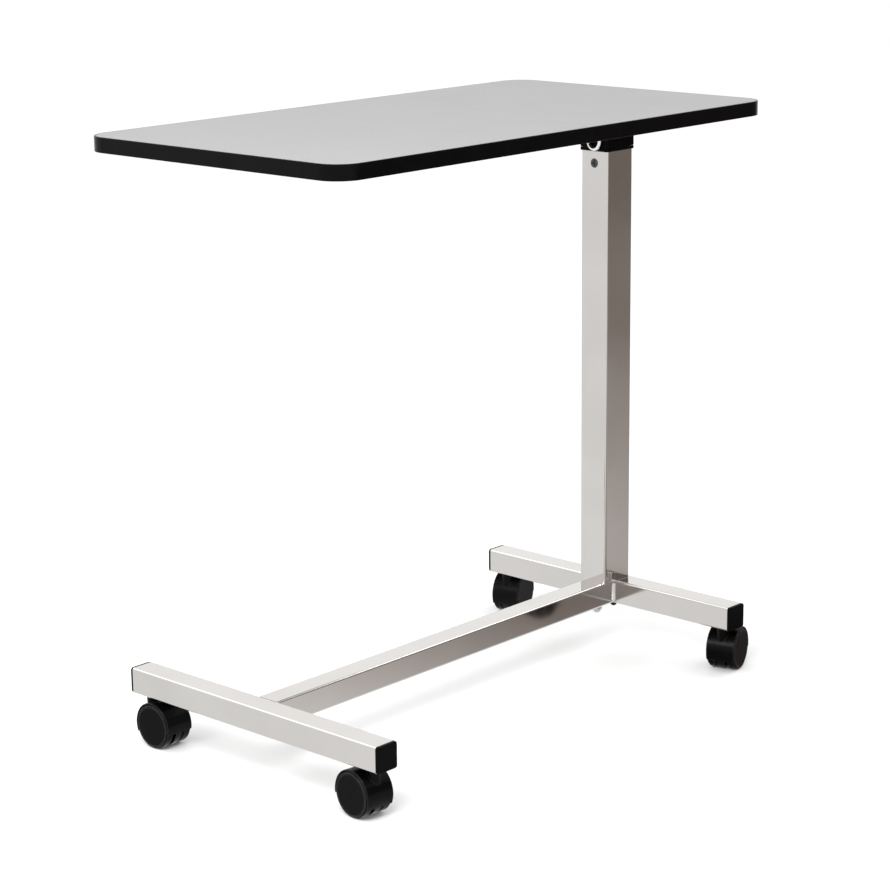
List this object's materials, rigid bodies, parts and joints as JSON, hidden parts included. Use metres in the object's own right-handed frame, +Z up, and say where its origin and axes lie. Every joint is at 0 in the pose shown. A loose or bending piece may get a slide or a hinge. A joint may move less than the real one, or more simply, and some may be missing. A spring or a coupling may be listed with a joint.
{
  "type": "overbed table",
  "caption": "Overbed table: laminated board on a telescopic chromed column at one end, release bail, H-shaped tube base on twin-wheel swivel casters",
  "frame": {"origin": "on the floor, under the centre of the board", "axes": "+X along the board towards the column, +Y across the base, +Z up; the board's free end points along -X"},
  "size_m": [0.764, 0.4248, 0.7445],
  "materials": {
    "particle_board": "raw chipboard",
    "grey_laminate": "satin speckled laminate",
    "backer_sheet": "dark resin paper",
    "edge_moulding": "satin black vinyl",
    "black_paint": "satin black powder coat",
    "zinc_steel": "zinc plated",
    "chromed_steel": "bright chrome plating",
    "chromed_wire": "bright chrome plating",
    "black_plastic": "fine-grained black moulding",
    "bright_nut": "bright plated",
    "black_nut": "black oxide",
    "caster_plastic": "glossy black nylon",
    "wheel_plastic": "satin black nylon"
  },
  "bodies": {
    "base": {"outer_column": "chromed_steel", "guide_bush": "black_plastic", "bush_screws": "black_nut", "gas_spring_cylinder": "black_paint", "gas_spring_guide": "black_plastic", "foot_plug": "zinc_steel", "foot_studs": "zinc_steel", "foot_washers": "zinc_steel", "front_foot_nut": "bright_nut", "rear_foot_nut": "black_nut", "foot_keys": "chromed_steel", "base_spine": "chromed_steel", "front_crossbar": "chromed_steel", "rear_crossbar": "chromed_steel", "base_welds": "chromed_steel", "end_caps": "black_plastic", "caster_sockets": "black_plastic", "caster_stems": "zinc_steel"},
    "head": {"tabletop_core": "particle_board", "tabletop_laminate": "grey_laminate", "tabletop_backer": "backer_sheet", "tabletop_edge_moulding": "edge_moulding", "support_plate": "black_paint", "support_rail_left": "black_paint", "support_rail_right": "black_paint", "top_screws": "zinc_steel", "inner_column": "chromed_steel", "lower_glide": "black_plastic", "head_collar": "black_plastic", "rod_bridge": "zinc_steel", "rod_nut": "zinc_steel", "gas_spring_rod": "chromed_steel", "gas_spring_piston": "zinc_steel", "release_pivot_pin": "zinc_steel"},
    "bail": {"release_lever": "zinc_steel", "release_bail": "chromed_wire"},
    "pin": {"release_pin": "zinc_steel"},
    "caster_front_left": {"caster_front_left_body": "caster_plastic", "caster_front_left_axle": "zinc_steel"},
    "wheel_front_left_left": {"caster_front_left_wheel_left": "wheel_plastic"},
    "wheel_front_left_right": {"caster_front_left_wheel_right": "wheel_plastic"},
    "caster_front_right": {"caster_front_right_body": "caster_plastic", "caster_front_right_axle": "zinc_steel"},
    "wheel_front_right_left": {"caster_front_right_wheel_left": "wheel_plastic"},
    "wheel_front_right_right": {"caster_front_right_wheel_right": "wheel_plastic"},
    "caster_rear_left": {"caster_rear_left_body": "caster_plastic", "caster_rear_left_axle": "zinc_steel"},
    "wheel_rear_left_left": {"caster_rear_left_wheel_left": "wheel_plastic"},
    "wheel_rear_left_right": {"caster_rear_left_wheel_right": "wheel_plastic"},
    "caster_rear_right": {"caster_rear_right_body": "caster_plastic", "caster_rear_right_axle": "zinc_steel"},
    "wheel_rear_right_left": {"caster_rear_right_wheel_left": "wheel_plastic"},
    "wheel_rear_right_right": {"caster_rear_right_wheel_right": "wheel_plastic"}
  },
  "joints": [
    {"name": "height_slide", "type": "slide", "parent": "base", "child": "head", "axis": [0, 0, 1], "range_m": [0, 0.38]},
    {"name": "release_hinge", "type": "hinge", "parent": "head", "child": "bail", "pos_m": [0.291, 0, 0.7115], "axis": [0, 1, 0], "range_deg": [0, 13], "stiffness_Nm_per_rad": 0.1, "springref_deg": -17.19},
    {"name": "valve_pin_slide", "type": "slide", "parent": "head", "child": "pin", "axis": [0, 0, -1], "range_m": [0, 0.0057]},
    {"name": "swivel_front_left", "type": "hinge", "parent": "base", "child": "caster_front_left", "pos_m": [-0.326, 0.186, 0.06], "axis": [0, 0, 1], "continuous": true},
    {"name": "roll_front_left_left", "type": "hinge", "parent": "caster_front_left", "child": "wheel_front_left_left", "pos_m": [-0.32616, 0.168, 0.0276], "axis": [1, -0.0087, 0], "continuous": true},
    {"name": "roll_front_left_right", "type": "hinge", "parent": "caster_front_left", "child": "wheel_front_left_right", "pos_m": [-0.32616, 0.168, 0.0276], "axis": [1, -0.0087, 0], "continuous": true},
    {"name": "swivel_front_right", "type": "hinge", "parent": "base", "child": "caster_front_right", "pos_m": [-0.326, -0.186, 0.06], "axis": [0, 0, 1], "continuous": true},
    {"name": "roll_front_right_left", "type": "hinge", "parent": "caster_front_right", "child": "wheel_front_right_left", "pos_m": [-0.32412, -0.1681, 0.0276], "axis": [-0.9945, 0.1045, 0], "continuous": true},
    {"name": "roll_front_right_right", "type": "hinge", "parent": "caster_front_right", "child": "wheel_front_right_right", "pos_m": [-0.32412, -0.1681, 0.0276], "axis": [-0.9945, 0.1045, 0], "continuous": true},
    {"name": "swivel_rear_left", "type": "hinge", "parent": "base", "child": "caster_rear_left", "pos_m": [0.3325, 0.186, 0.06], "axis": [0, 0, 1], "continuous": true},
    {"name": "roll_rear_left_left", "type": "hinge", "parent": "caster_rear_left", "child": "wheel_rear_left_left", "pos_m": [0.3498, 0.19096, 0.0276], "axis": [-0.2756, 0.9613, 0], "continuous": true},
    {"name": "roll_rear_left_right", "type": "hinge", "parent": "caster_rear_left", "child": "wheel_rear_left_right", "pos_m": [0.3498, 0.19096, 0.0276], "axis": [-0.2756, 0.9613, 0], "continuous": true},
    {"name": "swivel_rear_right", "type": "hinge", "parent": "base", "child": "caster_rear_right", "pos_m": [0.3325, -0.186, 0.06], "axis": [0, 0, 1], "continuous": true},
    {"name": "roll_rear_right_left", "type": "hinge", "parent": "caster_rear_right", "child": "wheel_rear_right_left", "pos_m": [0.3498, -0.18104, 0.0276], "axis": [-0.2756, 0.9613, 0], "continuous": true},
    {"name": "roll_rear_right_right", "type": "hinge", "parent": "caster_rear_right", "child": "wheel_rear_right_right", "pos_m": [0.3498, -0.18104, 0.0276], "axis": [-0.2756, 0.9613, 0], "continuous": true}
  ],
  "couplings": [
    {"joint": "valve_pin_slide", "follows": "release_hinge", "m_per_rad": 0.0248}
  ]
}
